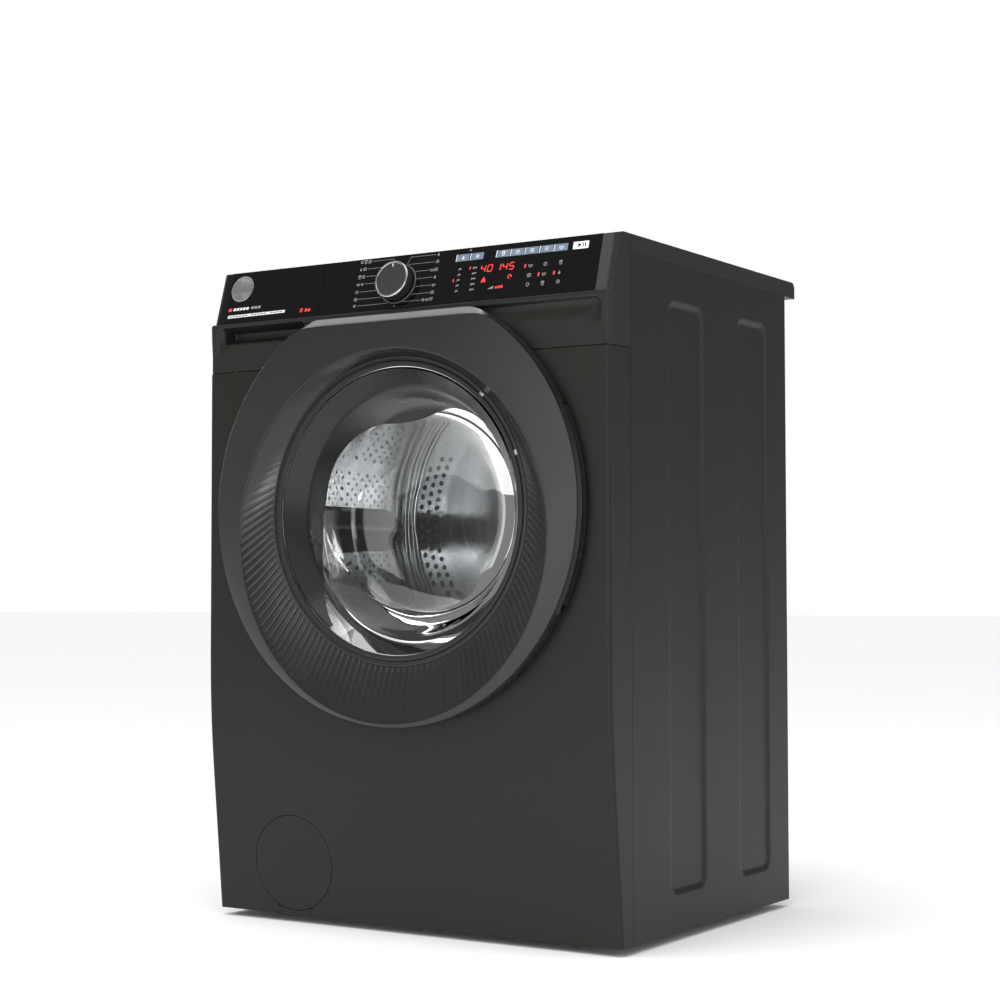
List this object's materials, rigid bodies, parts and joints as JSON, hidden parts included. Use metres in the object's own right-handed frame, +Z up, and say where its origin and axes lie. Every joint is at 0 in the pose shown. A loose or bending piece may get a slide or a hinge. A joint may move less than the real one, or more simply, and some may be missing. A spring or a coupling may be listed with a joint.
{
  "type": "front loading washing machine",
  "caption": "Front loading washing machine with a round flat-topped door, a dished ribbed surround, a control panel with a knob and drawer, and its working drum unit.",
  "frame": {"origin": "middle of the overall footprint, on the floor under the feet", "axes": "+Z up, -Y out of the front, +X to the user's right when facing the door"},
  "size_m": [0.6, 0.5374, 0.841],
  "materials": {
    "body_enamel": "satin",
    "galvanised": "matte",
    "fascia_plastic": "satin",
    "gloss_black": "gloss",
    "key_print": "satin",
    "circuit_board": "satin",
    "knob_dark": "satin",
    "bright_trim": "polished",
    "worktop_laminate": "satin",
    "zinc_steel": "satin",
    "black_plastic": "matte",
    "grey_plastic": "matte",
    "white_plastic": "satin",
    "foot_rubber": "matte",
    "door_satin": "satin",
    "rib_plastic": "satin",
    "clear_bowl": "polished",
    "door_back": "satin",
    "seal_rubber": "matte",
    "tub_plastic": "matte",
    "concrete": "matte",
    "drum_stainless": "satin",
    "cast_aluminium": "satin",
    "motor_steel": "satin",
    "belt_rubber": "matte",
    "spring_steel": "satin",
    "heater_steel": "satin",
    "lifter_plastic": "satin",
    "valve_plastic": "satin",
    "flap_plastic": "satin"
  },
  "bodies": {
    "cabinet": {"left_side_panel": "body_enamel", "right_side_panel": "body_enamel", "front_panel": "body_enamel", "control_fascia": "fascia_plastic", "control_panel": "gloss_black", "touch_keys": "key_print", "control_board": "circuit_board", "worktop": "worktop_laminate", "rear_panel": "galvanised", "rear_service_cover": "galvanised", "rear_screws": "zinc_steel", "transit_hole_caps": "black_plastic", "base_tray": "grey_plastic", "top_crossbars": "galvanised", "foot_pads": "foot_rubber", "foot_studs": "zinc_steel", "hinge_bracket": "zinc_steel", "door_lock": "black_plastic", "door_gasket": "seal_rubber", "dispenser_housing": "grey_plastic", "inlet_valve": "valve_plastic", "dispenser_hose": "seal_rubber", "sump_hose": "seal_rubber", "drain_pump": "grey_plastic", "mains_gland": "black_plastic", "drain_outlet": "black_plastic", "damper_housings": "grey_plastic", "suspension_springs": "spring_steel"},
    "knob": {"knob_body": "knob_dark", "knob_ring": "bright_trim"},
    "start_button": {"start_key": "white_plastic"},
    "drawer": {"drawer_front": "gloss_black", "drawer_tray": "grey_plastic"},
    "tub": {"tub_front": "tub_plastic", "tub_rear": "tub_plastic", "heater": "heater_steel", "counterweights": "concrete", "drum_bearings": "zinc_steel", "shaft_seal": "seal_rubber", "motor_housing": "motor_steel", "drive_belt": "belt_rubber", "damper_rods": "black_plastic"},
    "drum": {"drum_shell": "drum_stainless", "drum_rear_disc": "drum_stainless", "drum_lifters": "lifter_plastic", "drum_spider": "cast_aluminium", "drum_pulley": "cast_aluminium"},
    "motor_rotor": {"motor_pulley": "zinc_steel"},
    "door": {"door_frame": "door_satin", "door_trim": "bright_trim", "door_ribbed_ring": "rib_plastic", "door_glass": "clear_bowl", "door_inner_frame": "door_back", "hinge_arm": "zinc_steel", "hinge_pin": "zinc_steel"},
    "handle": {"door_handle": "door_satin"},
    "latch": {"latch_hook": "zinc_steel"},
    "filter": {"filter_plug": "white_plastic"},
    "filter_flap": {"filter_cover": "flap_plastic"},
    "impeller": {"pump_impeller": "white_plastic"}
  },
  "joints": [
    {"name": "door_hinge", "type": "hinge", "parent": "cabinet", "child": "door", "pos_m": [-0.258, -0.2575, 0.5197], "axis": [0, 0, -1], "range_deg": [0, 150]},
    {"name": "handle_pull", "type": "hinge", "parent": "door", "child": "handle", "pos_m": [0.242, -0.253, 0.5197], "axis": [0, 0, -1], "range_deg": [0, 5], "stiffness_Nm_per_rad": 1.2, "springref_deg": -17.19},
    {"name": "latch_turn", "type": "hinge", "parent": "door", "child": "latch", "pos_m": [0.228, -0.252, 0.5197], "axis": [0, 0, 1], "range_deg": [0, 15]},
    {"name": "drawer_slide", "type": "slide", "parent": "cabinet", "child": "drawer", "axis": [0, -1, 0], "range_m": [0, 0.2]},
    {"name": "knob_turn", "type": "hinge", "parent": "cabinet", "child": "knob", "pos_m": [-0.007, -0.23304, 0.80164], "axis": [0, -0.9589, 0.2837], "continuous": true},
    {"name": "start_press", "type": "slide", "parent": "cabinet", "child": "start_button", "axis": [0, 0.9589, -0.2837], "range_m": [0, 0.0008], "stiffness_N_per_m": 300, "springref_m": -0.002},
    {"name": "tub_suspension", "type": "slide", "parent": "cabinet", "child": "tub", "axis": [0, 0, 1], "range_m": [-0.01, 0.008], "stiffness_N_per_m": 16000, "springref_m": 0.02029, "deforming": ["suspension_springs", "dispenser_hose", "sump_hose", "door_gasket"]},
    {"name": "drum_spin", "type": "hinge", "parent": "tub", "child": "drum", "pos_m": [0, 0, 0.5197], "axis": [0, 1, 0], "continuous": true},
    {"name": "motor_spin", "type": "hinge", "parent": "tub", "child": "motor_rotor", "pos_m": [0, 0, 0.17], "axis": [0, 1, 0], "continuous": true},
    {"name": "filter_cover_hinge", "type": "hinge", "parent": "cabinet", "child": "filter_flap", "pos_m": [-0.1741, -0.21911, 0.02112], "axis": [1, 0, 0], "range_deg": [0, 95]},
    {"name": "filter_plug_turn", "type": "hinge", "parent": "cabinet", "child": "filter", "pos_m": [-0.1741, -0.2, 0.0764], "axis": [0, -1, 0], "range_deg": [0, 180]},
    {"name": "impeller_spin", "type": "hinge", "parent": "cabinet", "child": "impeller", "pos_m": [-0.1741, -0.11, 0.0764], "axis": [0, 1, 0], "continuous": true}
  ],
  "couplings": [
    {"joint": "latch_turn", "follows": "handle_pull", "ratio": 3},
    {"joint": "motor_spin", "follows": "drum_spin", "ratio": 11.667}
  ]
}
